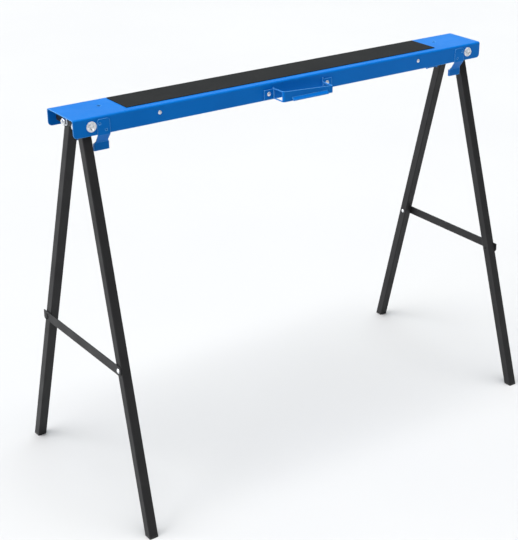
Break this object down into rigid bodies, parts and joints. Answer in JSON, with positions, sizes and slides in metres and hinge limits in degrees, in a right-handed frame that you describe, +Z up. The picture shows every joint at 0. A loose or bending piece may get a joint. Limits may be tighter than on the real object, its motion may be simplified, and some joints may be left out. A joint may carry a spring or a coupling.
{
  "type": "folding sawhorse",
  "caption": "Folding steel sawhorse with a blue channel beam, rubber-topped work surface, carry handle and two pairs of black square-tube legs that fold up under it.",
  "frame": {"origin": "on the floor, under the centre of the beam", "axes": "+X along the beam towards its right end as seen from the handle side, +Y towards the back (the handle is on the -Y side), +Z up"},
  "size_m": [1.0052, 0.5132, 0.7812],
  "materials": {
    "blue_paint": "gloss",
    "pad_rubber": "matte, fine texture",
    "black_coat": "satin powder coat",
    "foot_plastic": "matte",
    "zinc": "bright zinc plate",
    "spring_steel": "satin"
  },
  "bodies": {
    "beam": {"beam": "blue_paint", "work_pad": "pad_rubber", "carry_handle": "blue_paint", "handle_rivets": "zinc", "leg_clips": "spring_steel", "clip_rivets": "zinc", "pivot_bolts": "zinc", "pivot_retainers": "spring_steel"},
    "front_left_latch": {"front_left_latch": "blue_paint"},
    "front_right_latch": {"front_right_latch": "blue_paint"},
    "rear_left_latch": {"rear_left_latch": "blue_paint"},
    "rear_right_latch": {"rear_right_latch": "blue_paint"},
    "left_yoke": {"left_yoke": "black_coat", "left_leg_bolts": "zinc", "left_leg_nuts": "zinc", "left_leg_washers": "zinc"},
    "right_yoke": {"right_yoke": "black_coat", "right_leg_bolts": "zinc", "right_leg_nuts": "zinc", "right_leg_washers": "zinc"},
    "left_front_leg": {"left_front_leg": "black_coat", "left_front_foot": "foot_plastic", "left_brace_rivet": "zinc"},
    "left_rear_leg": {"left_rear_leg": "black_coat", "left_rear_foot": "foot_plastic", "left_hook_stud": "black_coat"},
    "right_front_leg": {"right_front_leg": "black_coat", "right_front_foot": "foot_plastic", "right_hook_stud": "black_coat"},
    "right_rear_leg": {"right_rear_leg": "black_coat", "right_rear_foot": "foot_plastic", "right_brace_rivet": "zinc"},
    "left_brace": {"left_brace": "black_coat"},
    "right_brace": {"right_brace": "black_coat"}
  },
  "joints": [
    {"name": "left_fold", "type": "hinge", "parent": "beam", "child": "left_yoke", "pos_m": [-0.4635, 0, 0.763], "axis": [0, -1, 0], "range_deg": [0, 91.63], "deforming": ["front_left_latch"]},
    {"name": "right_fold", "type": "hinge", "parent": "beam", "child": "right_yoke", "pos_m": [0.4635, 0, 0.763], "axis": [0, 1, 0], "range_deg": [0, 91.63], "deforming": ["rear_right_latch"]},
    {"name": "left_front_close", "type": "hinge", "parent": "left_yoke", "child": "left_front_leg", "pos_m": [-0.4705, -0.0305, 0.762], "axis": [1, 0, 0], "range_deg": [0, 15.84]},
    {"name": "left_rear_close", "type": "hinge", "parent": "left_yoke", "child": "left_rear_leg", "pos_m": [-0.4705, 0.0105, 0.762], "axis": [-1, 0, 0], "range_deg": [0, 15.84]},
    {"name": "right_front_close", "type": "hinge", "parent": "right_yoke", "child": "right_front_leg", "pos_m": [0.4705, -0.0105, 0.762], "axis": [1, 0, 0], "range_deg": [0, 15.84]},
    {"name": "right_rear_close", "type": "hinge", "parent": "right_yoke", "child": "right_rear_leg", "pos_m": [0.4705, 0.0305, 0.762], "axis": [-1, 0, 0], "range_deg": [0, 15.84]},
    {"name": "left_brace_swing", "type": "hinge", "parent": "left_front_leg", "child": "left_brace", "pos_m": [-0.49335, -0.15583, 0.32027], "axis": [0.9996, 0, -0.0295], "range_deg": [0, 74.16]},
    {"name": "right_brace_swing", "type": "hinge", "parent": "right_rear_leg", "child": "right_brace", "pos_m": [0.49335, 0.15583, 0.32027], "axis": [-0.9996, 0, -0.0295], "range_deg": [0, 74.16]},
    {"name": "front_left_latch_flex", "type": "hinge", "parent": "beam", "child": "front_left_latch", "pos_m": [-0.4388, -0.0501, 0.7745], "axis": [-1, 0, 0], "range_deg": [0, 14], "stiffness_Nm_per_rad": 4},
    {"name": "rear_left_latch_flex", "type": "hinge", "parent": "beam", "child": "rear_left_latch", "pos_m": [-0.4388, 0.0501, 0.7745], "axis": [1, 0, 0], "range_deg": [0, 14], "stiffness_Nm_per_rad": 4},
    {"name": "front_right_latch_flex", "type": "hinge", "parent": "beam", "child": "front_right_latch", "pos_m": [0.4388, -0.0501, 0.7745], "axis": [-1, 0, 0], "range_deg": [0, 14], "stiffness_Nm_per_rad": 4},
    {"name": "rear_right_latch_flex", "type": "hinge", "parent": "beam", "child": "rear_right_latch", "pos_m": [0.4388, 0.0501, 0.7745], "axis": [1, 0, 0], "range_deg": [0, 14], "stiffness_Nm_per_rad": 4}
  ],
  "couplings": [
    {"joint": "left_front_close", "follows": "left_fold", "ratio": 0.17288},
    {"joint": "left_rear_close", "follows": "left_fold", "ratio": 0.17288},
    {"joint": "right_front_close", "follows": "right_fold", "ratio": 0.17288},
    {"joint": "right_rear_close", "follows": "right_fold", "ratio": 0.17288},
    {"joint": "left_brace_swing", "follows": "left_fold", "ratio": 0.80937},
    {"joint": "right_brace_swing", "follows": "right_fold", "ratio": 0.80937}
  ]
}
